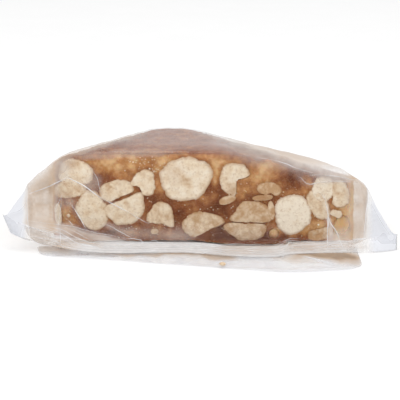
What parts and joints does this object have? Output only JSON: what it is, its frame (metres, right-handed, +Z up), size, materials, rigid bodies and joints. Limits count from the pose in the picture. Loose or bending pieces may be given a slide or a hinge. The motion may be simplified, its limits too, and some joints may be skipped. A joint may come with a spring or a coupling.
{
  "type": "peanut brittle",
  "caption": "Triangular piece of peanut brittle with its cut side showing whole and split nuts in caramel, sealed in a clear film bag with crimped ends.",
  "frame": {"origin": "middle of the underside's box, on the table", "axes": "+X along the cut side and both seals, +Y from the cut side towards the rear corner, +Z up"},
  "size_m": [0.1062, 0.0798, 0.026],
  "materials": {
    "film": "clear, slightly hazy film over caramel brown brittle",
    "caramel": "glossy amber to dark brown caramel",
    "peanut": "matt cream cut kernels, finely mottled",
    "sugar": "small pale grains and crumbs"
  },
  "bodies": {
    "root": {"sealed_bag": "film"}
  },
  "joints": []
}
